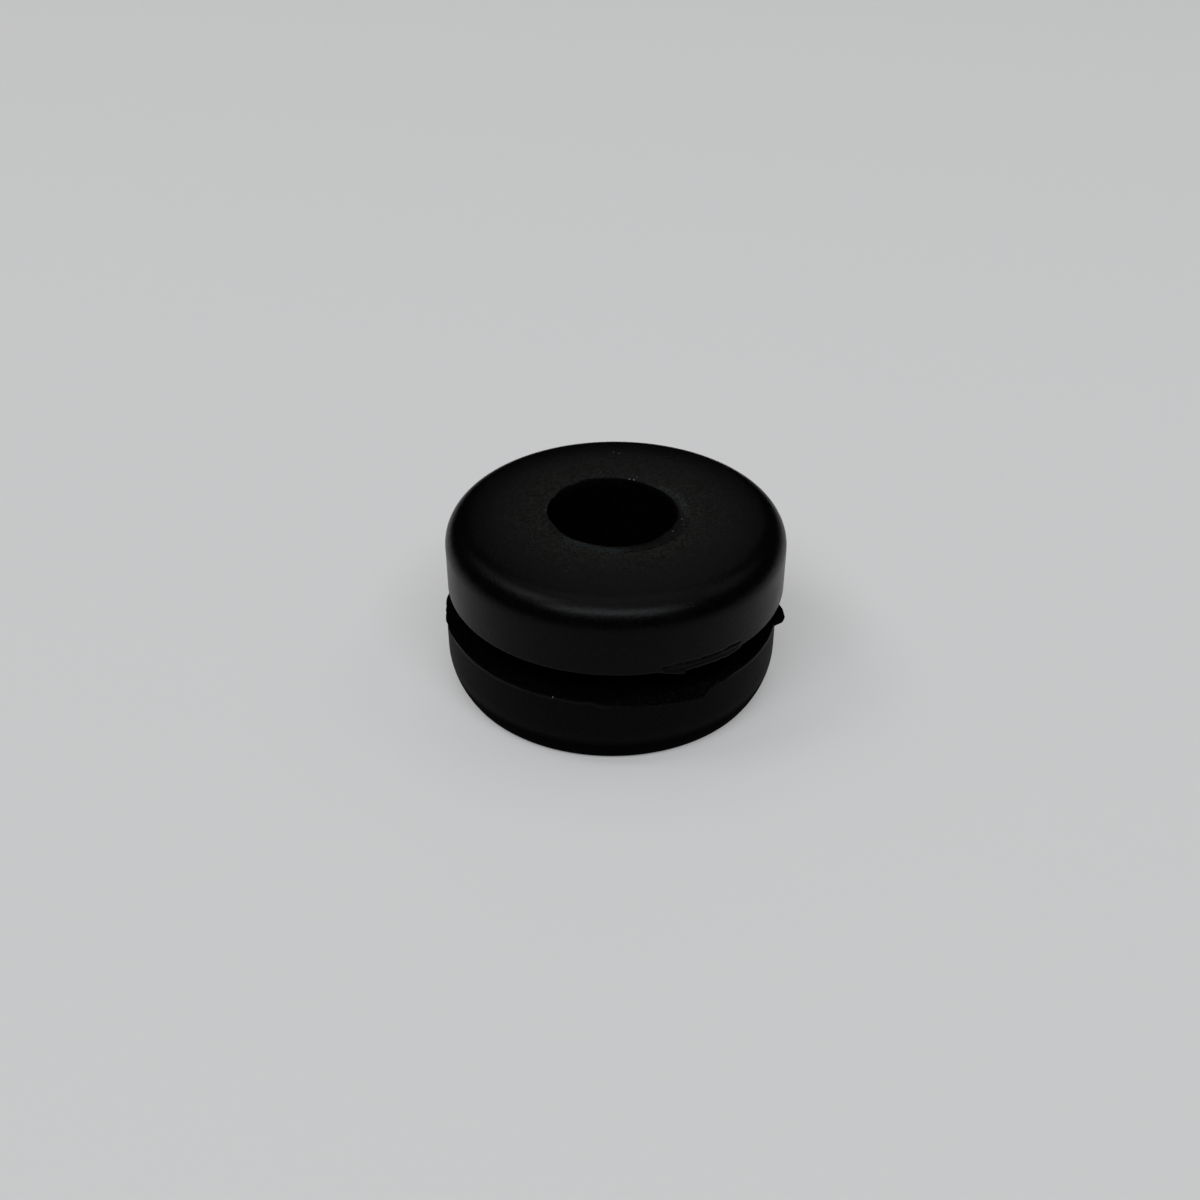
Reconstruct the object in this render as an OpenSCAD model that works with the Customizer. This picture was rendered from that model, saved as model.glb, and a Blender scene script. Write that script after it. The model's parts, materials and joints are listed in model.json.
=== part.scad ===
// Rubber isolation mount, moulded in one piece.
// Two thick round flanges grip a panel in the narrow groove between them, and a bolt's
// sleeve goes through the bore. It stands on its lower face: Z runs up the bore's axis,
// with the origin at the middle of the lower face. All sizes are in millimetres.

/* [Flanges] */
// Diameter of both flanges
flange_d = 25.4; // [20:0.1:32]
// Thickness of the upper flange, from the groove to the top face
upper_t = 5.7; // [4:0.05:9]
// Thickness of the lower flange, from the bottom face to the groove
lower_t = 5.85; // [4:0.05:9]
// Radius of the round outer corner of each flange
corner_r = 2.5; // [1:0.1:3]
// Radius of the shallow crown between the flat land and the corner
crown_r = 20; // [10:0.5:40]
// Width of the crown and corner together, from the flat land to the outer wall
crown_w = 4.2; // [3.2:0.05:5]
// Sideways step of the upper flange, where the two mould halves don't line up
mould_step = 0.25; // [0:0.05:0.5]

/* [Groove] */
// Width of the groove, which takes the panel's edge
groove_w = 2.35; // [1.5:0.05:5]
// Diameter of the groove's floor, which fills the panel's hole
neck_d = 15.9; // [14:0.1:18]
// Radius of the fillets at the groove's floor
floor_r = 0.5; // [0.2:0.05:0.7]
// Rounding of the groove's two rims
rim_r = 0.2; // [0.1:0.05:0.5]

/* [Bore] */
// Diameter of the bore
bore_d = 9.5; // [6:0.1:12]
// Rounding of the bore's two mouths
mouth_r = 0.2; // [0.1:0.05:1]
// Diameter of the shallow dish worn round the upper mouth
dish_d = 10.8; // [10:0.1:12]
// Slope of the dish, in degrees
dish_slope = 7; // [3:0.5:12]
// Sideways place of the dish's middle, which is off the bore's axis
dish_x = 0.44; // [-0.6:0.02:0.6]
// Place of the dish's middle from front to back
dish_y = -0.38; // [-0.6:0.02:0.6]

/* [Moulding flash] */
// Thickness of the thin flash left along the rims
flash_t = 0.14; // [0.1:0.02:0.3]
// How far the thin flash stands out from a rim
flash_reach = 0.2; // [0.1:0.02:0.4]
// How far the one thick tag stands out from the lower rim
tag_reach = 0.65; // [0.3:0.05:1]
// Thickness of the thick tag
tag_t = 0.5; // [0.3:0.05:1]
// How far the strip of flash hangs down from the upper rim
strip_drop = 0.3; // [0.1:0.05:0.6]
// Thickness of the hanging strip
strip_t = 0.25; // [0.15:0.05:0.5]
// Height of rim torn away in the long torn stretch
tear_h = 0.6; // [0.2:0.05:1]
// Depth of the torn stretch, measured inwards along the groove's wall
tear_w = 0.45; // [0.2:0.05:1]

/* [Hidden] */
$fn = 96;
rubber_black = [0.06, 0.06, 0.06];

flange_r = flange_d / 2;
neck_r = neck_d / 2;
bore_r = bore_d / 2;
upper_rim_z = lower_t + groove_w;
height = upper_rim_z + upper_t;

// The crown arc leaves the land level and meets the corner arc tangent to it, but for
// a hair's breadth that lets the two arcs cross.
hair = 0.001;
land_r = flange_r - crown_w;
corner_x = flange_r - corner_r;
corner_drop = crown_r - sqrt((crown_r - corner_r) ^ 2 - (corner_x - land_r) ^ 2) - hair;
join_x = land_r + (corner_x - land_r) * crown_r / (crown_r - corner_r);

// Flash is rooted inside the flange and lies just clear of the groove's wall.
flash_root = 1;
flash_lift = 0.04;

// Each patch of flash: middle angle, half width in degrees, share of the full reach.
lower_flash = [
    [24, 10, 0.5], [62, 14, 0.7], [118, 18, 0.6], [158, 8, 0.8], [186, 12, 0.9],
    [214, 9, 0.5], [240, 13, 1], [262, 6, 0.4], [318, 9, 0.6], [336, 7, 0.8],
];
upper_flash = [
    [40, 12, 0.6], [96, 9, 0.5], [150, 14, 0.7], [192, 6, 1], [232, 12, 0.4],
];
tag_angle = 352;
tag_half_width = 8;
strip_start = 285;
strip_angle = 27;
strip_inset = 0.06;
strip_root = 0.6;

// Each torn stretch of the lower rim: start and length in degrees, share of the full size.
tears = [[279, 25, 1], [263, 7, 0.5]];

// Half-section of a flange, from the groove's wall at y = 0 to the outer face at y = t.
// Its parts overlap, so that the arcs alone make the outline.
module flange_section(t) {
    corner_y = t - corner_drop;
    square([flange_r - rim_r, corner_y]);
    square([land_r, t]);
    translate([0, rim_r]) square([flange_r, corner_y - rim_r]);
    translate([flange_r - rim_r, rim_r]) circle(rim_r);
    intersection() {
        translate([land_r, t - crown_r]) circle(crown_r, $fn = 6 * $fn);
        translate([0, rim_r]) square([join_x, 2 * t]);
    }
    intersection() {
        translate([corner_x, corner_y]) circle(corner_r);
        translate([0, rim_r]) square([2 * flange_r, 2 * t]);
    }
}

// Fills the inside corner at the groove's floor with a concave quarter round
module floor_fillet() {
    difference() {
        translate([-floor_r, -floor_r]) square(2 * floor_r);
        translate([floor_r, floor_r]) circle(floor_r);
    }
}

module neck_section() {
    translate([0, -floor_r]) square([neck_r, groove_w + 2 * floor_r]);
    translate([neck_r, 0]) floor_fillet();
    translate([neck_r, groove_w]) mirror([0, 1]) floor_fillet();
}

// The cut for one mouth of the bore, with the face at y = 0 and the bore below it
module mouth_section() {
    difference() {
        translate([0, -mouth_r]) square([bore_r + mouth_r, 2 * mouth_r]);
        translate([bore_r + mouth_r, -mouth_r]) circle(mouth_r);
    }
}

module bore() {
    rotate_extrude() {
        translate([0, -mouth_r]) square([bore_r, height + 2 * mouth_r]);
        translate([0, height]) mouth_section();
        mirror([0, 1]) mouth_section();
    }
}

// The dish is one shallow cone, and the bore takes away its middle
module dish() {
    dish_r = dish_d / 2;
    translate([dish_x, dish_y, height])
        rotate_extrude()
            polygon([[0, -dish_r * tan(dish_slope)], [dish_r, 0], [dish_r, 1], [0, 1]]);
}

// A thin scalloped fin on a rim, highest at the middle of its stretch of the rim
module fin(angle, half_width, reach, t) {
    steps = 8;
    function bump(i) = reach * sin(180 * i / steps) * (i % 2 == 0 ? 1 : 0.8);
    function at(r, i) = let (a = angle + half_width * (2 * i / steps - 1)) r * [cos(a), sin(a)];
    linear_extrude(t)
        polygon([
            for (i = [0:steps]) at(flange_r - flash_lift + bump(i), i),
            for (i = [steps:-1:0]) at(flange_r - flash_root, i),
        ]);
}

module flash(patches) {
    for (p = patches) fin(p[0], p[1], p[2] * flash_reach, flash_t);
}

// The strip of flash that hangs from the upper rim, with that rim at z = 0
module strip() {
    rotate([0, 0, strip_start])
        rotate_extrude(angle = strip_angle)
            translate([flange_r - strip_inset - strip_t, -strip_drop])
                square([strip_t, strip_drop + strip_root]);
}

// One stretch of the lower rim torn away along a slope
module tear(start, length, share) {
    w = share * tear_w;
    h = share * tear_h;
    rotate([0, 0, start])
        rotate_extrude(angle = length)
            polygon([
                [flange_r - w, lower_t],
                [flange_r + w, lower_t - 2 * h],
                [flange_r + w, lower_t + h],
                [flange_r - w, lower_t + h],
            ]);
}

module upper_flange() {
    translate([mould_step, 0, upper_rim_z]) {
        rotate_extrude() flange_section(upper_t);
        translate([0, 0, flash_lift]) flash(upper_flash);
        strip();
    }
}

module lower_flange() {
    difference() {
        translate([0, 0, lower_t]) mirror([0, 0, 1]) rotate_extrude() flange_section(lower_t);
        for (t = tears) tear(t[0], t[1], t[2]);
    }
    translate([0, 0, lower_t - flash_lift - flash_t]) flash(lower_flash);
    translate([0, 0, lower_t - flash_lift - tag_t])
        fin(tag_angle, tag_half_width, tag_reach, tag_t);
}

module rubber_mount() {
    color(rubber_black)
        difference() {
            union() {
                lower_flange();
                translate([0, 0, lower_t]) rotate_extrude() neck_section();
                upper_flange();
            }
            bore();
            dish();
        }
}

rubber_mount();
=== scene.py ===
"""The rubber mount's looks: one moulded, satin black rubber piece on a plain pale floor.

The mount is one closed mesh. It is a stack of rings round the bore's axis, joined ring by
ring: up the bore, out over the top face, down the wall, in and out of the groove, and back
under the lower face. Its half-section follows the CAD model's, except where a comment below
says otherwise. Its flash, its torn stretch and its worn mouth are shaped on the same rings.
Sizes are in millimetres until the mesh is made, and angles are in degrees, anticlockwise
from +X as seen from above.
"""
import json
import math

import bpy
import numpy as np
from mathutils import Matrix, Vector


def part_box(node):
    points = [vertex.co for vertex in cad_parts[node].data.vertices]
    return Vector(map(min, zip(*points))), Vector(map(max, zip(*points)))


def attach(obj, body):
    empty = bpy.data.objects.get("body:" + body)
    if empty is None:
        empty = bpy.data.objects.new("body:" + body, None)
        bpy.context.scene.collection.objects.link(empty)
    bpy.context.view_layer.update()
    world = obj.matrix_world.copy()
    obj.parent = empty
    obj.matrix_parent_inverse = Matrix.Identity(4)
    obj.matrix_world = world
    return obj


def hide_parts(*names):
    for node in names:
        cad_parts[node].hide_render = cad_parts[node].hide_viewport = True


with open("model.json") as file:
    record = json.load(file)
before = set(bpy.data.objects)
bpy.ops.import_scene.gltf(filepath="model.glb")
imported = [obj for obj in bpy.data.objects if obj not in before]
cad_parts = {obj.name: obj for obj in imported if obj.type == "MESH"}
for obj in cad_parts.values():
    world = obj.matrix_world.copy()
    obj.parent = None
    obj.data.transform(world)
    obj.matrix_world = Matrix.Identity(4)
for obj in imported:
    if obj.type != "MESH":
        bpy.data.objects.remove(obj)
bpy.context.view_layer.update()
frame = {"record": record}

MM = 0.001
NODE = "rubber_mount"
QUARTER = math.pi / 2

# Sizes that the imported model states. The lower flange has no flash at -Y, so its box gives
# the radius there.
low_corner, high_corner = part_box(NODE)
bore_mount = next(m for m in frame["record"]["mounts"] if m["name"] == "bore")
HEIGHT = high_corner.z / MM
FLANGE_R = -low_corner.y / MM
BORE_R = bore_mount["dims"]["r_mm"]

# The groove: its two walls, its neck, the fillets at its floor, and its rounded rims.
LOWER_RIM_Z = 5.85
UPPER_RIM_Z = 8.2
NECK_R = 7.95
FLOOR_R = 0.5
RIM_R = 0.2

# The upper flange. It is a little wider than the lower one, stands to one side of it by a
# little more than in the CAD model, and has a smaller corner.
UPPER_R = FLANGE_R + 0.08
UPPER_CENTRE = (0.33, 0.0)
UPPER_CROWN_W = 4.2
UPPER_CORNER_R = 2.1
CROWN_R = 20.0

# The lower flange turns from its crown to its wall in two arcs, where the CAD model has one:
# a tight corner, up to this lean from the face, and a wide shoulder.
LOWER_CROWN_W = 2.8
LOWER_CORNER_R = 0.5
LOWER_CORNER_END = 58.0
LOWER_SHOULDER_R = 5.1

# The rounded mouths, and the shallow dish round the upper one, which isn't centred on the
# bore. The upper mouth is deeper, and stands a little to the back.
MOUTH_R = 0.2
MOUTH_DEPTH = 0.35
MOUTH_SHIFT = 0.12
DISH_CENTRE = (0.44, -0.38)
DISH_R = 5.4
DISH_SLOPE = 7.0

# Number of points in a ring: plain surfaces, walls and corners, and the ragged edges.
PLAIN = 256
WALL = 512
FINE = 1024


def smooth(t):
    """Eases from 0 to 1 as t goes from 0 to 1, level at both ends."""
    t = np.clip(t, 0.0, 1.0)
    return t * t * (3 - 2 * t)


def bell(away, width):
    """1 where away is 0, and less on both sides, as a bell curve."""
    return np.exp(-(away / width) ** 2)


def near(angle, middle, half_width):
    """1 at the middle angle and 0 from half_width away, with a smooth fall between them."""
    away = np.abs((angle - middle + 180.0) % 360.0 - 180.0)
    return smooth(1 - away / half_width)


def bumps(angle, places):
    """Smooth bumps round a ring. Each place is a middle angle, half width and height."""
    return sum(height * near(angle, middle, half_width) for middle, half_width, height in places)


def stretch(angle, start, end, ramp):
    """1 from start to end and 0 outside them, with ramps of the given width inside."""
    along = (angle - start) % 360.0
    length = (end - start) % 360.0
    inside = along <= length
    return np.where(inside, smooth(along / ramp) * smooth((length - along) / ramp), 0.0)


# Each sine wave of a ripple is this many times as strong as the one before it.
WAVE_FALLOFF = 0.7


def ripple(angle, seed, waves):
    """A wandering value of about -1 to 1 round a ring, made of seeded sine waves.

    waves are the numbers of waves in a turn, the strongest first."""
    rng = np.random.default_rng(seed)
    total = np.zeros_like(angle)
    weight = 0.0
    for step, count in enumerate(waves):
        share = WAVE_FALLOFF ** step
        total += share * np.sin(np.radians(angle) * count + rng.uniform(0, 2 * math.pi))
        weight += share * share
    return total / math.sqrt(2 * weight)


def uneven(wander, middle, swing, least, most):
    """A factor that wanders about its middle value by swing, and stays within its limits."""
    return np.clip(middle + swing * wander, least, most)


def angles(count):
    return np.arange(count) * 360.0 / count


def spaced(start, end, steps, first=1):
    """Values at equal steps from start to end. Step 0, start itself, is left out by default."""
    return [start + (end - start) * i / steps for i in range(first, steps + 1)]


class Rings:
    """Rings of points, kept in the order in which the surface passes through them.

    Each point has two finish values as well: how grey the rubber is there, from its bloom and
    torn fibres and from painted reflection and painted highlights, and how much of the moulded
    skin is gone, which on the lower flange also stands for painted shade."""

    def __init__(self):
        self.rings = []
        self.haze = []
        self.raw = []

    def add(self, count, radius, z, centre=(0.0, 0.0), haze=0.0, raw=0.0):
        """Adds one ring. radius, z, haze and raw are numbers, or functions of the angle."""
        a = angles(count)
        r, h, grey, bare = (
            value(a) if callable(value) else np.full(count, float(value))
            for value in (radius, z, haze, raw)
        )
        x = centre[0] + r * np.cos(np.radians(a))
        y = centre[1] + r * np.sin(np.radians(a))
        self.rings.append(np.stack([x, y, h], axis=1))
        self.haze.append(grey)
        self.raw.append(bare)

    def mesh(self, name):
        """Joins each ring to the next, and the last to the first, into one closed mesh."""
        starts = np.cumsum([0] + [len(ring) for ring in self.rings])
        faces = []
        for i, ring in enumerate(self.rings):
            after = (i + 1) % len(self.rings)
            faces += bridge(starts[i], len(ring), starts[after], len(self.rings[after]))
        points = np.concatenate(self.rings) * MM
        mesh = bpy.data.meshes.new(name)
        mesh.from_pydata(points.tolist(), [], faces)
        mesh.polygons.foreach_set("use_smooth", [True] * len(mesh.polygons))
        for label, values in (("haze", self.haze), ("raw", self.raw)):
            layer = mesh.attributes.new(label, "FLOAT", "POINT")
            layer.data.foreach_set("value", np.concatenate(values).astype(np.float32))
        mesh.update()
        return mesh


def bridge(a, count_a, b, count_b):
    """Faces between a ring of count_a points from index a and one of count_b from index b.

    The larger count is a whole number of times the smaller."""
    if count_a > count_b:
        return [tuple(reversed(face)) for face in bridge(b, count_b, a, count_a)]
    many = count_b // count_a
    faces = []
    for i in range(count_a):
        j = (i + 1) % count_a
        if many == 1:
            faces.append((a + i, b + i, b + j, a + j))
            continue
        for k in range(many):
            corner = i if k < many // 2 else j
            faces.append((a + corner, b + i * many + k, b + (i * many + k + 1) % count_b))
        faces.append((a + i, b + i * many + many // 2, a + j))
    return faces


# The torn stretch of the lower rim: how far its lit edge is down, at angles along it, how far
# in from the wall it reaches, and the drop from which the rim counts as torn.
TEAR_AT = [264, 268, 272, 277, 283, 289, 295, 299, 301.5, 303, 304.5, 307, 310, 313, 317]
TEAR_DOWN = [0, 0.02, 0.14, 0.26, 0.38, 0.5, 0.6, 0.76, 0.82, 0.52, 0.24, 0.1, 0.14, 0.04, 0]
TEAR_WIDTH = 0.5
TORN_DOWN = 0.22

# Small dips of the lower rim: middle angle, half width, how far the rim is down.
LOWER_DIPS = [
    (268, 4, 0.34), (258, 4, 0.05), (229, 4, 0.12), (246, 3, 0.07), (219, 5, 0.05),
    (326, 4, 0.06), (203, 6, 0.05), (338, 5, 0.08),
]

# How ragged the rims' edges are: the lower rim coarsely, of which the tear loses a share,
# and finely, its torn stretch down and across, and the upper rim. The lower rim's edge is
# never less far down than LEAST_DROP.
LOWER_RAGGED = 0.03
LOWER_RAGGED_LOST = 0.4
LOWER_RAGGED_FINE = 0.018
TEAR_RAGGED = 0.03
TEAR_RAGGED_WIDTH = 0.05
UPPER_RAGGED = 0.022
LEAST_DROP = 0.08


def tear_drop(a):
    return np.interp(a, TEAR_AT, TEAR_DOWN)


def torn(a):
    """1 where the lower rim is torn away, 0 where it is whole."""
    return smooth(tear_drop(a) / TORN_DOWN)


def lower_drop(a):
    """How far below the groove's wall the outer edge of the lower rim is."""
    drop = RIM_R + tear_drop(a) + TEAR_RAGGED * torn(a) * ripple(a, 3, (31, 53, 97))
    drop += bumps(a, LOWER_DIPS)
    coarse = LOWER_RAGGED * ripple(a, 5, (41, 67, 103, 171, 263))
    drop += coarse * (1 - LOWER_RAGGED_LOST * torn(a))
    drop += LOWER_RAGGED_FINE * ripple(a, 61, (149, 211, 317))
    return np.maximum(drop, LEAST_DROP)


def lower_width(a):
    """How far in from the wall the lower rim's worn edge reaches."""
    ragged = TEAR_RAGGED_WIDTH * ripple(a, 7, (23, 37, 71))
    return RIM_R + torn(a) * (TEAR_WIDTH - RIM_R + ragged)


def upper_drop(a):
    """How far above the groove's wall the outer edge of the upper rim is."""
    return RIM_R + UPPER_RAGGED * ripple(a, 11, (31, 53, 89, 151))


# The thin flash of the lower rim: its greatest reach, the share of it that is there all
# round, and the places where there is more.
FIN_REACH = 0.22
FIN_ALL_ROUND = 0.12
FIN_PLACES = [(190, 24, 0.88), (4, 12, 0.5)]

# The thick tag of flash: how far it stands out, at angles along it, how ragged it is, how
# far it stands out where it counts as there, and the two depths below the rim between which
# its underside runs back to the wall.
TAG_AT = [347.2, 347.8, 349, 350.5, 352.3, 354.3, 356.8, 359.8, 363.3]
TAG_OUT = [0, 0.32, 0.56, 0.66, 0.69, 0.65, 0.5, 0.25, 0]
TAG_RAGGED = 0.04
TAG_THERE = 1 / 6
TAG_UNDER = (0.02, 0.22)


def lower_fin(a):
    """How far the thin flash stands out from the lower rim."""
    wander = ripple(a, 13, (19, 31, 59, 97))
    ragged = uneven(wander, middle=0.65, swing=0.35, least=0.15, most=1.0)
    return FIN_REACH * ragged * (FIN_ALL_ROUND + bumps(a, FIN_PLACES)) * (1 - torn(a))


def tag(a):
    """How far the tag stands out from the lower rim."""
    bulge = np.interp((a + 180.0) % 360.0, [at - 180.0 for at in TAG_AT], TAG_OUT)
    return bulge * (1 + TAG_RAGGED * ripple(a, 37, (61, 113)))


def on_tag(a):
    """1 on the tag and 0 beside it."""
    return smooth(tag(a) / TAG_THERE)


# The strip of flash that hangs from the upper rim: its depth, at angles along it, how ragged
# its edge is where it is deep enough, and the least depth, which the rim has all round.
STRIP_AT = [283, 285, 287, 290, 292.4, 293.2, 297, 302, 307, 311, 314, 315.5]
STRIP_DEPTH = [0, 0.1, 0.24, 0.44, 0.52, 0.3, 0.26, 0.29, 0.32, 0.3, 0.22, 0]
STRIP_RAGGED = 0.035
STRIP_THERE = 0.08
STRIP_LEAST = 0.02

# How far the strip bulges, and how much of its skin is gone. A span is a stretch's start, end
# and ramp.
STRIP_BULGE = 0.03
STRIP_BULGE_SPAN = (286, 314, 3)
STRIP_RAW = 0.5
STRIP_RAW_SPAN = (284, 315, 2)

# The crease where the strip leaves the wall: its span, its height above the rim, its half
# width and depth, and how much its height wanders.
CREASE_SPAN = (284, 314.5, 1.5)
CREASE_UP = 0.26
CREASE_WIDTH = 0.055
CREASE_DEPTH = 0.17
CREASE_WANDER = 0.16


def strip(a):
    """How far the strip hangs below the upper rim."""
    depth = np.interp(a, STRIP_AT, STRIP_DEPTH)
    ragged = STRIP_RAGGED * ripple(a, 17, (61, 97, 173, 251)) * (depth > STRIP_THERE)
    return np.maximum(depth + ragged, STRIP_LEAST)


def crease(a):
    """How deep the hairline crease is, from 0 to 1. It is broken here and there."""
    wander = ripple(a, 41, (29, 47, 83, 139))
    return stretch(a, *CREASE_SPAN) * uneven(wander, middle=0.7, swing=0.5, least=0.1, most=1.0)


# How far the bore's upper edge is worn back: its mean, how much more towards +X and +Y, and
# how ragged it is.
MOUTH_WEAR = 0.15
MOUTH_WEAR_X = 0.08
MOUTH_WEAR_Y = 0.09
MOUTH_RAGGED = 0.02

# Where that edge is chipped back, or bulges in: middle angle, half width, how far.
MOUTH_CHIPS = [
    (52, 46, -0.14), (112, 18, 0.2), (138, 11, 0.14), (155, 7, -0.1), (208, 24, -0.14),
    (249, 7, -0.1), (272, 12, 0.1), (301, 12, 0.18), (323, 10, -0.13), (352, 20, 0.1),
    (131, 1.4, 0.07), (126.5, 1.2, 0.06), (309, 5, 0.05),
]

# The dish's lip: how ragged it is, and the least width of the dish.
LIP_RAGGED = 0.012
LEAST_DISH = 0.08


def mouth_wear(a):
    """How far the bore's upper edge is worn back."""
    lean = MOUTH_WEAR_X * np.cos(np.radians(a)) + MOUTH_WEAR_Y * np.sin(np.radians(a))
    ragged = MOUTH_RAGGED * ripple(a, 19, (29, 47, 71, 103, 139))
    return MOUTH_WEAR + lean + bumps(a, MOUTH_CHIPS) + ragged


def lip(a):
    """Distance from the bore's axis to the dish's lip."""
    c, s = np.cos(np.radians(a)), np.sin(np.radians(a))
    b = DISH_CENTRE[0] * c + DISH_CENTRE[1] * s
    reach = b + np.sqrt(b * b + DISH_R ** 2 - DISH_CENTRE[0] ** 2 - DISH_CENTRE[1] ** 2)
    ragged = LIP_RAGGED * ripple(a, 47, (9, 17, 31))
    return np.maximum(reach + ragged, BORE_R + mouth_wear(a) + LEAST_DISH)


# The grey of the dish: a faint bloom all over, and a painted highlight along a line, with its
# half width, which stands in for the lights' reflection there. The line's places are a middle
# angle, half width and strength each, and elsewhere it has the least strength. It runs at a
# share of the way from the bore's edge to the lip, which swings up at one angle and down
# opposite it.
DISH_HAZE = 0.08
PAINTED_HIGHLIGHT = 2.8
HIGHLIGHT_WIDTH = 0.3
HIGHLIGHT_PLACES = [(255, 44, 1.0), (20, 50, 0.45), (172, 30, 0.4)]
HIGHLIGHT_LEAST = 0.06
HIGHLIGHT_SHARE = 0.66
HIGHLIGHT_SWING = 0.1
HIGHLIGHT_SWING_AT = 30

# Painted light on the bore's lit edge at the back right: middle angle, half width and
# strength, and the share of the dish over which it fades.
EDGE_LIGHT_PLACES = [(40, 34, 1.2)]
EDGE_LIGHT_FADE = 0.16

# The face's grey, a faint bloom together with painted reflection that makes the flat land
# lighter than the crown, fades out from this radius on, over this width.
FACE_BLOOM_AND_REFLECTION = 0.3
FACE_REFLECTION_R = 5.0
FACE_REFLECTION_FADE = 5.2


def dish_highlight(a):
    """How bright the dish's painted highlight is: most in front, at the back right and at the
    left.
    """
    wander = ripple(a, 53, (11, 23, 41))
    patchy = uneven(wander, middle=0.8, swing=0.25, least=0.3, most=1.2)
    return np.clip(bumps(a, HIGHLIGHT_PLACES), HIGHLIGHT_LEAST, 1) * patchy


def highlight_line(a):
    """Where the painted highlight runs: its share of the way from the bore's edge to the lip."""
    return HIGHLIGHT_SHARE + HIGHLIGHT_SWING * np.cos(np.radians(a - HIGHLIGHT_SWING_AT))


def face_bloom_and_reflection(r):
    """The face's grey at a distance from the bore's axis: bloom and painted reflection."""
    return FACE_BLOOM_AND_REFLECTION * (1 - smooth((r - FACE_REFLECTION_R) / FACE_REFLECTION_FADE))


def crown_section(flange_r, crown_w, corner_r, corner_end, shoulder_r, steps):
    """From the land to the wall over crown, corner and shoulder, as radius and drop.

    The three arcs are tangent to each other. The corner ends at a lean of corner_end from
    the face, and steps is the number of steps in each arc."""
    turn = math.radians(corner_end)
    wide = shoulder_r + (corner_r - shoulder_r) * math.sin(turn)
    crown_end = math.asin((crown_w - wide) / (CROWN_R - corner_r))
    r, down = flange_r - crown_w, 0.0
    section = [(r, down)]
    arcs = zip(
        (CROWN_R, corner_r, shoulder_r),
        (0.0, crown_end, turn),
        (crown_end, turn, QUARTER),
        steps,
    )
    for radius, start, end, count in arcs:
        for lean in spaced(start, end, count):
            section.append((
                r + radius * (math.sin(lean) - math.sin(start)),
                down + radius * (math.cos(start) - math.cos(lean)),
            ))
        r, down = section[-1]
    return section


# The bore turns into its worn mouth over this height. Its skin starts towards the end of the
# mouth's rounding. The dish's rings lie closer together near its lip.
MOUTH_H = 0.7
MOUTH_SKIN_FROM = 0.7
DISH_RINGS = (0.12, 0.25, 0.4, 0.55, 0.68, 0.78, 0.86, 0.93, 1.0)


def add_bore(rings):
    """The bore, and the upper mouth: its worn edge, then the dish out to its lip."""
    slope = math.tan(math.radians(DISH_SLOPE))

    def edge_r(a):
        return BORE_R + mouth_wear(a)

    def edge_z(a):
        return HEIGHT - slope * (lip(a) - edge_r(a))

    for z in spaced(MOUTH_R, HEIGHT - MOUTH_H, steps=8, first=0):
        rings.add(PLAIN, BORE_R, z, raw=1)
    for share in spaced(0.0, 1.0, steps=6):
        turn = QUARTER * share
        rings.add(
            WALL,
            lambda a: BORE_R + mouth_wear(a) * (1 - math.cos(turn)),
            lambda a: edge_z(a) - MOUTH_DEPTH * (1 - math.sin(turn)),
            (0.0, MOUTH_SHIFT * (1 - math.cos(turn))),
            raw=1 - smooth((share - MOUTH_SKIN_FROM) / (1 - MOUTH_SKIN_FROM)),
        )
    for share in DISH_RINGS:
        # Each dish ring's grey: bloom, a painted highlight along a line, and painted light on the
        # bore's lit edge.
        def grey(a):
            away = (lip(a) - edge_r(a)) * (share - highlight_line(a))
            highlight = PAINTED_HIGHLIGHT * dish_highlight(a) * bell(away, HIGHLIGHT_WIDTH)
            return DISH_HAZE + highlight + bumps(a, EDGE_LIGHT_PLACES) * bell(share, EDGE_LIGHT_FADE)

        rings.add(
            WALL,
            lambda a: edge_r(a) + (lip(a) - edge_r(a)) * share,
            lambda a: edge_z(a) + (HEIGHT - edge_z(a)) * share,
            (0.0, MOUTH_SHIFT * (1 - smooth(share))),
            haze=grey,
        )


# Rings just outside the dish's lip, at these distances from it, and the steps of the land
# beyond them. The bloom and painted reflection on the rings and at the land's start are the
# ones at these distances from the bore's axis.
LIP_RINGS = (0.06, 0.14, 0.26)
LAND_STEPS = 6
LIP_REFLECTION_R = 5.5
LAND_REFLECTION_R = 5.9

# Steps of the crown and the corner, which runs to the wall without a shoulder, and how wavy
# they are.
UPPER_ARC_STEPS = (6, 14, 0)
CORNER_WAVE = 0.012

# Height of the band above the upper rim that has fine rings, and their heights above the rim.
UPPER_BAND = 1.1
UPPER_BAND_RINGS = (0.6, 0.4, 0.33, 0.28, 0.24, 0.2, 0.15, 0.08, 0.0)


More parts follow.
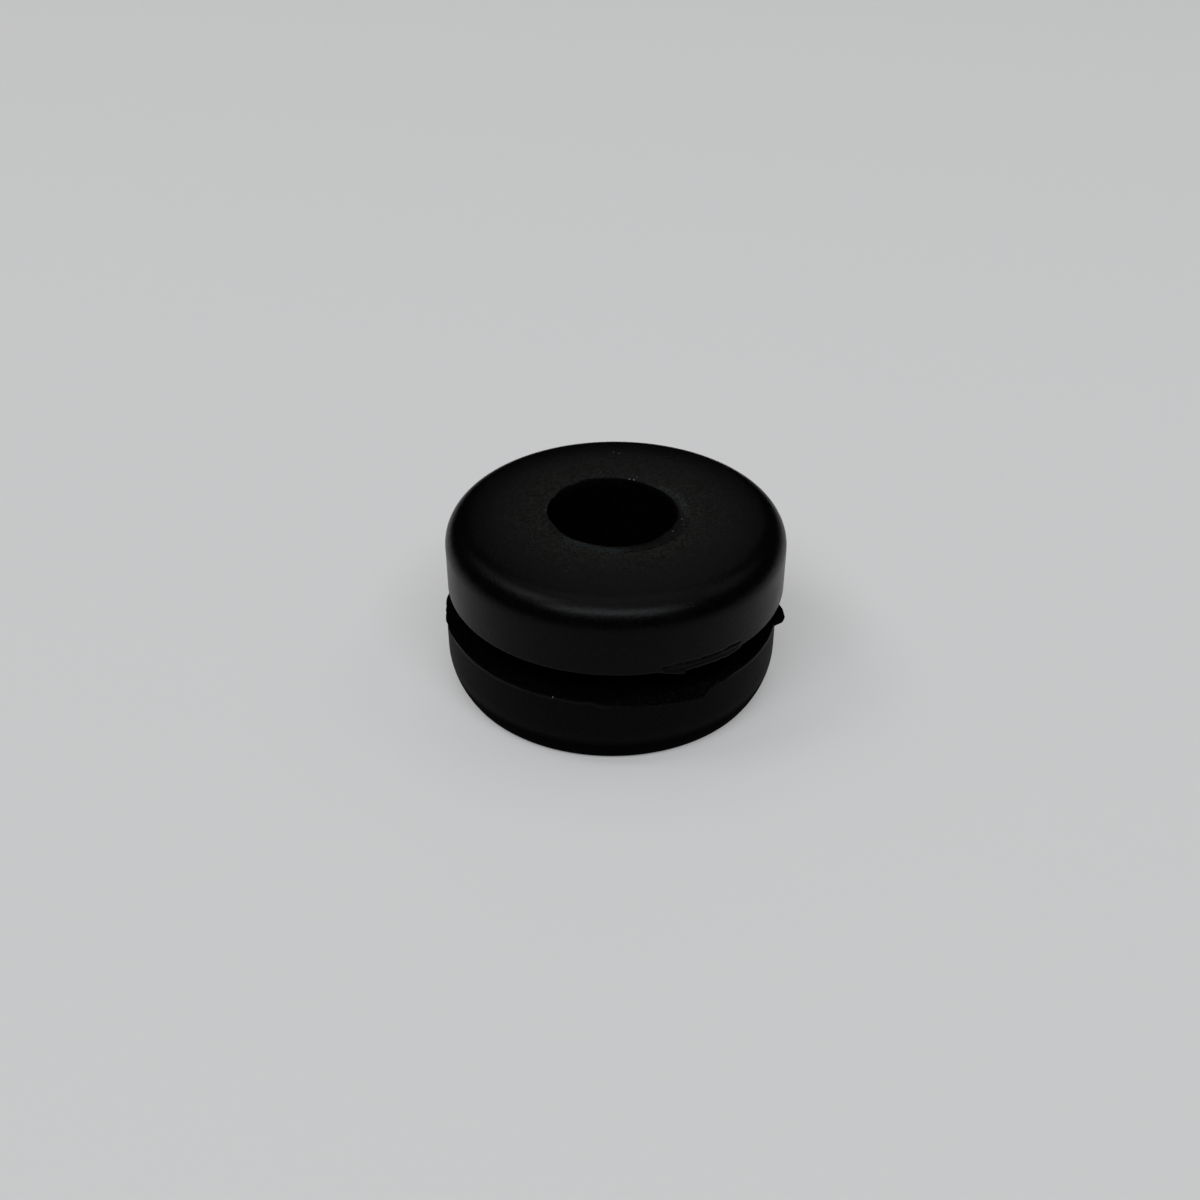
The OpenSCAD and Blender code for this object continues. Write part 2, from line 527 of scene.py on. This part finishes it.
def add_face_and_wall(rings):
    """The land, the crown, the corner and the upper flange's wall."""
    land_r = UPPER_R - UPPER_CROWN_W
    for beyond in LIP_RINGS:
        rings.add(WALL, lambda a: lip(a) + beyond, HEIGHT, haze=face_bloom_and_reflection(LIP_REFLECTION_R))
    for i in range(1, LAND_STEPS):
        share = i / LAND_STEPS
        rings.add(
            WALL if i in (1, LAND_STEPS - 1) else PLAIN,
            lambda a: lip(a) + LIP_RINGS[-1] + (land_r - lip(a) - LIP_RINGS[-1]) * share,
            HEIGHT,
            (UPPER_CENTRE[0] * share, 0.0),
            haze=face_bloom_and_reflection(LAND_REFLECTION_R + (land_r - LAND_REFLECTION_R) * share),
        )

    section = crown_section(
        UPPER_R, UPPER_CROWN_W, UPPER_CORNER_R, 90.0, UPPER_CORNER_R, UPPER_ARC_STEPS,
    )
    # The bloom and painted reflection of the face fade out over the crown, which stays dark.
    for r, down in section:
        rings.add(
            WALL,
            lambda a: r + CORNER_WAVE * smooth(down) * ripple(a, 59, (3, 5, 8, 13)),
            HEIGHT - down,
            UPPER_CENTRE,
            haze=face_bloom_and_reflection(r),
        )

    corner_drop = section[-1][1]
    for z in spaced(HEIGHT - corner_drop, UPPER_RIM_Z + UPPER_BAND, steps=3):
        rings.add(WALL, UPPER_R, z, UPPER_CENTRE)
    for above in UPPER_BAND_RINGS:
        fold = bell(above - CREASE_UP, CREASE_WIDTH)

        def wall_z(a):
            wander = 1 + CREASE_WANDER * ripple(a, 67, (23, 41, 73))
            return UPPER_RIM_Z + upper_drop(a) + above * wander

        rings.add(
            FINE,
            lambda a: UPPER_R - CREASE_DEPTH * crease(a) * fold,
            wall_z,
            UPPER_CENTRE,
            raw=lambda a: crease(a) * fold,
        )


# The groove's walls are rings at these shares of the way in, and of the way out. They are
# fine near the rims. The strip's underside runs into the upper wall over STRIP_ROOT of it.
ROOF_RINGS = (0.02, 0.05, 0.1, 0.2, 0.4, 0.7, 0.9)
ROOF_FINE_TO = 0.15
LEDGE_RINGS = (0.1, 0.3, 0.6, 0.8, 0.9, 0.95, 0.98)
LEDGE_FINE_FROM = 0.75
STRIP_ROOT = 1 / 8


def add_groove(rings):
    """The upper rim with its hanging strip, the groove, and its floor between two fillets."""
    for share in spaced(0.0, 1.0, steps=4):
        bulge = STRIP_BULGE * math.sin(math.pi * share)
        rings.add(
            FINE,
            lambda a: UPPER_R + bulge * stretch(a, *STRIP_BULGE_SPAN),
            lambda a: UPPER_RIM_Z + upper_drop(a) - strip(a) * share,
            UPPER_CENTRE,
            raw=lambda a: STRIP_RAW * stretch(a, *STRIP_RAW_SPAN),
        )
    for share in spaced(0.0, 1.0, steps=5):
        turn = QUARTER * share
        rings.add(
            FINE,
            lambda a: UPPER_R - RIM_R * (1 - math.cos(turn)),
            lambda a: UPPER_RIM_Z + upper_drop(a) * (1 - math.sin(turn)) - strip(a),
            UPPER_CENTRE,
            raw=share,
        )
    outer = UPPER_R - RIM_R
    inner = NECK_R + FLOOR_R
    for share in ROOF_RINGS:
        rings.add(
            FINE if share < ROOF_FINE_TO else WALL,
            outer + (inner - outer) * share,
            lambda a: UPPER_RIM_Z - strip(a) * (1 - smooth(share / STRIP_ROOT)),
            (UPPER_CENTRE[0] * (1 - smooth(share)), 0.0),
            raw=1,
        )
    fillet = [
        (1 - math.cos(turn), 1 - math.sin(turn))
        for turn in spaced(0.0, QUARTER, steps=5, first=0)
    ]
    for down, out in fillet:
        rings.add(PLAIN, NECK_R + FLOOR_R * out, UPPER_RIM_Z - FLOOR_R * down, raw=1)
    for out, up in fillet:
        rings.add(PLAIN, NECK_R + FLOOR_R * out, LOWER_RIM_Z + FLOOR_R * up, raw=1)


# The lower rim turns from the groove's wall to the outer wall in this many steps. The thin
# flash is on the middle of the turn, and the tag on all of it but its start.
RIM_STEPS = 12
FIN_MIDDLE = 0.55
FIN_WIDTH = 0.3
TAG_START = 1 / 3

# On the way, a whole rim gets this much of its skin back, from one share of the turn over
# another. The tear and the tag are raw until just before the outer edge.
RIM_SKIN = 0.8
RIM_SKIN_FROM = 0.3
RIM_SKIN_OVER = 0.6
RIM_RAW_TO = 0.9

# The torn surface: how rough it is across and down, and the grey of its torn fibres.
TEAR_ROUGH = 0.022
TEAR_ROUGH_DOWN = 0.02
FIBRE_HAZE = 0.045


def add_lower_rim(rings):
    """Out over the lower groove wall to the worn and torn lower rim, with its flash."""
    inner = NECK_R + FLOOR_R
    for share in LEDGE_RINGS:
        rings.add(
            FINE if share > LEDGE_FINE_FROM else WALL,
            lambda a: inner + (FLANGE_R - lower_width(a) - inner) * share,
            LOWER_RIM_Z,
            raw=1,
        )
    for i in range(RIM_STEPS + 1):
        share = i / RIM_STEPS
        turn = QUARTER * share
        middle = math.sin(math.pi * share)
        fin_band = bell(share - FIN_MIDDLE, FIN_WIDTH)
        tag_band = smooth(share / TAG_START)

        # A whole rim is rounded, and a torn one runs down in a rough slope.
        def rim_radius(a):
            round_r = FLANGE_R - lower_width(a) * (1 - math.sin(turn))
            slope_r = FLANGE_R - lower_width(a) * (1 - share)
            rough = TEAR_ROUGH * ripple(a, 100 + i, (37, 83, 149, 211)) * middle
            flash = lower_fin(a) * fin_band + tag(a) * tag_band
            return round_r + (slope_r - round_r + rough) * torn(a) + flash

        def rim_z(a):
            round_z = LOWER_RIM_Z - lower_drop(a) * (1 - math.cos(turn))
            slope_z = LOWER_RIM_Z - lower_drop(a) * share
            rough = TEAR_ROUGH_DOWN * ripple(a, 200 + i, (43, 71, 127)) * middle
            return round_z + (slope_z - round_z + rough) * torn(a)

        def bare(a):
            whole = 1 - RIM_SKIN * smooth((share - RIM_SKIN_FROM) / RIM_SKIN_OVER)
            edge = smooth((share - RIM_RAW_TO) / (1 - RIM_RAW_TO))
            return whole + (1 - edge - whole) * np.maximum(torn(a), on_tag(a))

        def fibres(a):
            wander = ripple(a, 300 + i, (59, 113, 197, 281))
            strands = uneven(wander, middle=0.6, swing=1.0, least=0.0, most=2.0)
            return FIBRE_HAZE * torn(a) * strands

        rings.add(FINE, rim_radius, rim_z, haze=fibres, raw=bare)


# Height of the band of fine rings below the lower rim, and the number of rings in it. The
# crown, the corner and the shoulder have these numbers of steps.
LOWER_BAND = 1.3
LOWER_BAND_STEPS = 10
LOWER_ARC_STEPS = (3, 7, 7)

# Painted shade: the lower wall's sheen is dulled part way, and its corner's and face's fully,
# so that the flange darkens towards the floor, where it reflects the shadowed floor. The change
# is over this distance in from the wall.
LOWER_SHADE = 0.48
LOWER_SHADE_RAMP = 0.22


def add_lower_flange(rings):
    """The lower wall, corner and crown, the lower face and the lower mouth."""
    band_end = LOWER_RIM_Z - LOWER_BAND
    for share in spaced(0.0, 1.0, LOWER_BAND_STEPS):
        under = (LOWER_BAND * share - TAG_UNDER[0]) / (TAG_UNDER[1] - TAG_UNDER[0])
        tag_left = 1 - smooth(under)

        def wall_z(a):
            start = LOWER_RIM_Z - lower_drop(a)
            return start + (band_end - start) * share

        rings.add(
            FINE,
            lambda a: FLANGE_R + tag(a) * tag_left,
            wall_z,
            raw=lambda a: np.maximum(on_tag(a) * tag_left, LOWER_SHADE),
        )
    section = crown_section(
        FLANGE_R, LOWER_CROWN_W, LOWER_CORNER_R, LOWER_CORNER_END, LOWER_SHOULDER_R,
        LOWER_ARC_STEPS,
    )
    wall_end = section[-1][1]
    for z in spaced(band_end, wall_end, steps=4)[:-1]:
        rings.add(WALL, FLANGE_R, z, raw=LOWER_SHADE)
    for r, down in reversed(section):
        # Painted shade: the corner and face lose their sheen towards the floor.
        shaded = smooth((FLANGE_R - r) / LOWER_SHADE_RAMP)
        rings.add(WALL, r, down, raw=LOWER_SHADE + (1 - LOWER_SHADE) * shaded)
    mouth_out = BORE_R + MOUTH_R
    for r in spaced(FLANGE_R - LOWER_CROWN_W, mouth_out, steps=6)[:-1]:
        rings.add(PLAIN, r, 0.0, raw=1)

    # The mouth's last step is the bore's first ring.
    for turn in spaced(0.0, QUARTER, steps=6, first=0)[:-1]:
        rings.add(
            PLAIN,
            mouth_out - MOUTH_R * math.sin(turn),
            MOUTH_R * (1 - math.cos(turn)),
            raw=1,
        )


# The rubber's colours: its black, the grey of its bloom and fibres, which also carries the
# painted reflection on the face, the cooler grey of the painted highlights, and the dust's.
# Then the roughness of its skin and of raw rubber.
RUBBER_BLACK = (0.0003, 0.0003, 0.0003, 1)
BLOOM_AND_LIGHT_GREY = (0.0125, 0.0130, 0.0109, 1)
HIGHLIGHT_GREY = (0.0112, 0.0134, 0.0138, 1)
DUST_GREY = (0.12, 0.125, 0.12, 1)
SKIN_ROUGHNESS = (0.27, 0.33)
RAW_ROUGHNESS = 0.92

# The finishes, from satin skin to raw rubber: name, the least raw value, specular level. The
# duller ones are also painted shade on the lower flange, which they darken towards the floor.
FINISHES = [
    ("satin_black_rubber", 0.0, 0.068),
    ("dull_shaded_black_rubber", 0.42, 0.046),
    ("matt_shaded_black_rubber", 0.62, 0.028),
    ("raw_shaded_black_rubber", 0.82, 0.013),
]

# The noises of the surface, in waves per metre, with their detail and roughness.
GRAIN = (5200.0, 4.0, 0.65)
SKIN = (2200.0, 3.0, 0.55)
BLOTCHES = (420.0, 4.0, 0.6)

# How each noise changes the grey: between two noise values, from one factor to another.
GRAIN_GREY = (0.4, 0.6, 0.0, 2.0)
SKIN_GREY = (0.35, 0.65, 0.7, 1.3)
BLOTCH_GREY = (0.3, 0.7, 0.75, 1.25)
BLOTCH_RANGE = BLOTCH_GREY[:2]

# Haze that is there everywhere, and the haze over which the grey of bloom and painted
# reflection turns into the cooler grey of the painted highlights.
LEAST_HAZE = 0.04
HIGHLIGHT_RANGE = (0.35, 0.9)

# Strength of the two bumps, and their height in millimetres.
GRAIN_BUMP = 0.7
SKIN_BUMP = 0.5
BUMP_HEIGHT = 0.022

# Specks of dust: x, y, z and radius. They reach further up and down than across, so that
# each one meets the surface, and they fade out between two shares of their radius.
SPECK_FLAT = 0.3
SPECK_EDGE = (0.5, 1.3)
SPECKS = [
    (0.10, 9.20, 13.88, 0.05), (0.54, 9.04, 13.89, 0.045), (1.35, 4.88, 13.88, 0.055),
    (1.69, 4.78, 13.88, 0.06), (1.94, 5.18, 13.9, 0.045), (5.20, -0.92, 13.85, 0.05),
    (5.28, -1.77, 13.85, 0.035), (4.49, -2.62, 13.85, 0.05),
    (-4.05, -12.02, 5.8, 0.04), (7.41, -9.06, 13.3, 0.05), (-3.1, -8.2, 13.9, 0.03),
]


class Nodes:
    """Makes and links the nodes of a material or of the world."""

    def __init__(self, owner, shader="Principled BSDF"):
        owner.use_nodes = True
        self.owner = owner
        self.tree = owner.node_tree
        self.shader = self.tree.nodes[shader]

    def make(self, kind, settings=None, **inputs):
        """Adds a node. An input is a plain value, or another node's output socket.

        Inputs go by name, with _ for a space, or by number, with i in front."""
        node = self.tree.nodes.new(kind)
        for name, value in (settings or {}).items():
            setattr(node, name, value)
        for name, value in inputs.items():
            key = int(name[1:]) if name[1:].isdigit() else name.replace("_", " ")
            self.feed(node.inputs[key], value)
        return node

    def feed(self, socket, value):
        if isinstance(value, bpy.types.NodeSocket):
            self.tree.links.new(value, socket)
        else:
            socket.default_value = value

    def noise(self, place, scale, detail, roughness):
        return self.make(
            "ShaderNodeTexNoise", Vector=place, Scale=scale, Detail=detail, Roughness=roughness,
        ).outputs["Fac"]

    def remap(self, value, low, high, to_low, to_high):
        return self.make(
            "ShaderNodeMapRange", {"clamp": True}, Value=value,
            From_Min=low, From_Max=high, To_Min=to_low, To_Max=to_high,
        ).outputs["Result"]

    def maths(self, operation, a, b=None):
        """A maths node of one value or two."""
        node = self.make("ShaderNodeMath", {"operation": operation}, i0=a)
        if b is not None:
            self.feed(node.inputs[1], b)
        return node.outputs[0]

    def blend(self, factor, a, b):
        return self.make("ShaderNodeMix", {"data_type": "RGBA"}, i0=factor, i6=a, i7=b).outputs[2]

    def attribute(self, name):
        return self.make("ShaderNodeAttribute", {"attribute_name": name}).outputs["Fac"]


def speck_mask(nodes, place):
    """1 on the specks of dust and 0 elsewhere."""
    flat = nodes.make(
        "ShaderNodeVectorMath", {"operation": "MULTIPLY"}, i0=place, i1=(1.0, 1.0, SPECK_FLAT),
    ).outputs[0]
    spots = []
    for x, y, z, radius in SPECKS:
        middle = (x * MM, y * MM, z * MM * SPECK_FLAT)
        gap = nodes.make("ShaderNodeVectorMath", {"operation": "DISTANCE"}, i0=flat, i1=middle)
        inner, outer = (share * radius * MM for share in SPECK_EDGE)
        spots.append(nodes.remap(gap.outputs["Value"], inner, outer, 1.0, 0.0))
    mask = spots[0]
    for spot in spots[1:]:
        mask = nodes.maths("MAXIMUM", mask, spot)
    return mask


def rubber_material(name, sheen):
    """Moulded black rubber: satin skin with a fine grain, greyer where it blooms and where
    painted highlights and painted reflection lie.
    """
    material = bpy.data.materials.new(name)
    nodes = Nodes(material)
    place = nodes.make("ShaderNodeTexCoord").outputs["Object"]
    haze = nodes.attribute("haze")
    raw = nodes.attribute("raw")
    grain = nodes.noise(place, *GRAIN)
    skin = nodes.noise(place, *SKIN)
    blotches = nodes.noise(place, *BLOTCHES)

    grey = nodes.maths("ADD", haze, LEAST_HAZE)
    for noise, change in ((blotches, BLOTCH_GREY), (skin, SKIN_GREY), (grain, GRAIN_GREY)):
        grey = nodes.maths("MULTIPLY", grey, nodes.remap(noise, *change))
    # The haze's colour: bloom and painted reflection, and the cooler grey of painted highlights.
    tint = nodes.blend(nodes.remap(haze, *HIGHLIGHT_RANGE, 0.0, 1.0), BLOOM_AND_LIGHT_GREY, HIGHLIGHT_GREY)
    colour = nodes.blend(grey, RUBBER_BLACK, tint)
    colour = nodes.blend(speck_mask(nodes, place), colour, DUST_GREY)
    nodes.feed(nodes.shader.inputs["Base Color"], colour)

    satin = nodes.remap(blotches, *BLOTCH_RANGE, *SKIN_ROUGHNESS)
    roughness = nodes.make("ShaderNodeMix", i0=raw, i2=satin, i3=RAW_ROUGHNESS)
    nodes.feed(nodes.shader.inputs["Roughness"], roughness.outputs[0])
    nodes.shader.inputs["Specular IOR Level"].default_value = sheen

    fine = nodes.make(
        "ShaderNodeBump", Strength=GRAIN_BUMP, Distance=BUMP_HEIGHT * MM, Height=grain,
    )
    both = nodes.make(
        "ShaderNodeBump", Strength=SKIN_BUMP, Distance=BUMP_HEIGHT * MM, Height=skin,
        Normal=fine.outputs["Normal"],
    )
    nodes.feed(nodes.shader.inputs["Normal"], both.outputs["Normal"])
    return material


def plain_material(name, colour, roughness):
    """The nodes of a new material of one colour, without sheen."""
    nodes = Nodes(bpy.data.materials.new(name))
    nodes.shader.inputs["Base Color"].default_value = colour
    nodes.shader.inputs["Roughness"].default_value = roughness
    nodes.shader.inputs["Specular IOR Level"].default_value = 0.0
    return nodes


def add_object(name, data):
    added = bpy.data.objects.new(name, data)
    bpy.context.scene.collection.objects.link(added)
    return added


def make_mount():
    rings = Rings()
    add_bore(rings)
    add_face_and_wall(rings)
    add_groove(rings)
    add_lower_rim(rings)
    add_lower_flange(rings)
    mesh = rings.mesh("moulded_mount")
    for name, _, sheen in FINISHES:
        mesh.materials.append(rubber_material(name, sheen))
    raw = np.concatenate(rings.raw)
    # Each face takes the finish of its mean raw value, which on the lower flange is painted
    # shade.
    bare = [raw[list(face.vertices)].mean() for face in mesh.polygons]
    finish = np.searchsorted([least for _, least, _ in FINISHES], bare, side="right") - 1
    mesh.polygons.foreach_set("material_index", finish.clip(0).astype(np.int32))
    piece = add_object("moulded_mount", mesh)
    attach(piece, "root")
    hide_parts(NODE)


# The floor's colour, and its half width in metres. It lies just below the lower face, by
# this many millimetres, so that the two don't coincide.
FLOOR_GREY = (0.63, 0.624, 0.618, 1)
FLOOR_ROUGHNESS = 0.8
FLOOR_HALF = 3.0
FLOOR_DOWN = 0.01

# The share of the floor that is seen without the shadow, which keeps the shadow faint, and
# how bright that share is: about as bright as the floor beside the shadow.
SHADOW_LIFT = 0.35
FLOOR_SEEN = 0.597


def make_floor():
    mesh = bpy.data.meshes.new("floor")
    corners = [
        (x * FLOOR_HALF, y * FLOOR_HALF, -FLOOR_DOWN * MM)
        for x, y in ((-1, -1), (1, -1), (1, 1), (-1, 1))
    ]
    mesh.from_pydata(corners, [], [(0, 1, 2, 3)])
    nodes = plain_material("pale_floor", FLOOR_GREY, FLOOR_ROUGHNESS)
    path = nodes.make("ShaderNodeLightPath").outputs
    seen = nodes.maths("MAXIMUM", path["Is Camera Ray"], path["Is Glossy Ray"])
    seen = nodes.maths("MAXIMUM", seen, path["Is Transmission Ray"])
    plain = nodes.make("ShaderNodeEmission", Color=(1, 1, 1, 1), Strength=FLOOR_SEEN)
    mixed = nodes.make(
        "ShaderNodeMixShader", i0=nodes.maths("MULTIPLY", seen, SHADOW_LIFT),
        i1=nodes.shader.outputs[0], i2=plain.outputs[0],
    )
    nodes.feed(nodes.tree.nodes["Material Output"].inputs["Surface"], mixed.outputs[0])
    mesh.materials.append(nodes.owner)
    floor = add_object("floor", mesh)


# A low black screen round the mount, which shows only in reflections. It stands for a dark
# room beyond the pale floor, and darkens the edge of the crown.
SCREEN_BLACK = (0.001, 0.001, 0.001, 1)
SCREEN_R = 90.0
SCREEN_TOP = 46.0
SCREEN_SIDES = 64


def make_screen():
    points = [
        (SCREEN_R * math.cos(math.radians(a)), SCREEN_R * math.sin(math.radians(a)), z)
        for z in (0.0, SCREEN_TOP)
        for a in angles(SCREEN_SIDES)
    ]
    faces = bridge(0, SCREEN_SIDES, SCREEN_SIDES, SCREEN_SIDES)
    mesh = bpy.data.meshes.new("dark_screen")
    mesh.from_pydata((np.array(points) * MM).tolist(), [], faces)
    mesh.materials.append(plain_material("dark_screen", SCREEN_BLACK, 1.0).owner)
    screen = add_object("dark_screen", mesh)
    for unseen in ("camera", "diffuse", "shadow", "transmission", "volume_scatter"):
        setattr(screen, "visible_" + unseen, False)


# The camera looks down at the mount from the front. Its place is given from CAMERA_TARGET, a
# point near the mount's foot, and it is aimed this far to the right of it and above it.
CAMERA_TARGET = Vector((0.28, 0.0, -0.27))
CAMERA_DISTANCE = 114.96
CAMERA_ELEVATION = math.radians(36.84)
CAMERA_AIM_RIGHT = -1.178
CAMERA_AIM_UP = 5.10
CAMERA_LENS = 43.11
CAMERA_SENSOR = 36.0
CAMERA_CLIP = 1.0


def make_camera():
    back = Vector((0.0, -math.cos(CAMERA_ELEVATION), math.sin(CAMERA_ELEVATION)))
    up = Vector((0.0, math.sin(CAMERA_ELEVATION), math.cos(CAMERA_ELEVATION)))
    place = CAMERA_TARGET + CAMERA_DISTANCE * back
    aim = CAMERA_TARGET + Vector((CAMERA_AIM_RIGHT, 0.0, 0.0)) + CAMERA_AIM_UP * up
    data = bpy.data.cameras.new("camera")
    data.lens = CAMERA_LENS
    data.sensor_width = CAMERA_SENSOR
    data.clip_start = CAMERA_CLIP * MM
    camera = add_object("camera", data)
    camera.location = place * MM
    camera.rotation_mode = "QUATERNION"
    camera.rotation_quaternion = (aim - place).to_track_quat("-Z", "Y")
    bpy.context.scene.camera = camera


# Each soft light: azimuth, elevation, half angles across and up, radiance and colour. They
# all stand this far from the mount, in metres.
LIGHT_DISTANCE = 2.0
COOL = (0.965, 1.0, 1.045)
WHITE = (1.0, 1.0, 1.0)
SOFTBOXES = [
    ("key_box", 267.5, 55, 31, 8, 7.0, COOL),
    ("ceiling_box", 90, 80, 20, 24, 1.0, WHITE),
    ("side_box", 187, 56, 7, 10, 4.9, WHITE),
    ("left_box", 160, 46, 13, 12, 0.9, WHITE),
    ("right_box", 10, 52, 16, 14, 0.9, WHITE),
    ("back_box", 88, 40, 11, 11, 0.5, WHITE),
]


def direction(azimuth, elevation):
    a, e = math.radians(azimuth), math.radians(elevation)
    return Vector((math.cos(a) * math.cos(e), math.sin(a) * math.cos(e), math.sin(e)))


def make_softbox(name, azimuth, elevation, wide, tall, radiance, colour):
    """A soft rectangular light that faces the mount. wide and tall are half angles."""
    data = bpy.data.lights.new(name, "AREA")
    data.shape = "RECTANGLE"
    data.size = 2 * LIGHT_DISTANCE * math.tan(math.radians(wide))
    data.size_y = 2 * LIGHT_DISTANCE * math.tan(math.radians(tall))
    data.energy = radiance * math.pi * data.size * data.size_y
    data.color = colour
    light = add_object(name, data)
    place = direction(azimuth, elevation)
    light.location = place * LIGHT_DISTANCE
    light.rotation_mode = "QUATERNION"
    light.rotation_quaternion = (-place).to_track_quat("-Z", "Y")
    light.visible_camera = False


# The backdrop is palest at the horizon, by BACKDROP, and fades to ROOM above and below it.
BACKDROP = 0.22
BACKDROP_SPREAD = 0.11
ROOM = 0.01


def make_backdrop():
    world = bpy.data.worlds.new("world")
    bpy.context.scene.world = world
    nodes = Nodes(world, "Background")
    place = nodes.make("ShaderNodeTexCoord").outputs["Generated"]
    height = nodes.make("ShaderNodeSeparateXYZ", i0=place).outputs["Z"]
    away = nodes.maths("DIVIDE", height, BACKDROP_SPREAD)
    squared = nodes.maths("POWER", away, 2.0)
    fade = nodes.maths("EXPONENT", nodes.maths("MULTIPLY", squared, -1.0))
    glow = nodes.maths("ADD", nodes.maths("MULTIPLY", fade, BACKDROP), ROOM)
    nodes.feed(nodes.shader.inputs["Strength"], glow)
    nodes.shader.inputs["Color"].default_value = (1, 1, 1, 1)


make_camera()
make_mount()
make_floor()
make_screen()
make_backdrop()
for box in SOFTBOXES:
    make_softbox(*box)
bpy.context.scene.view_settings.view_transform = "Standard"
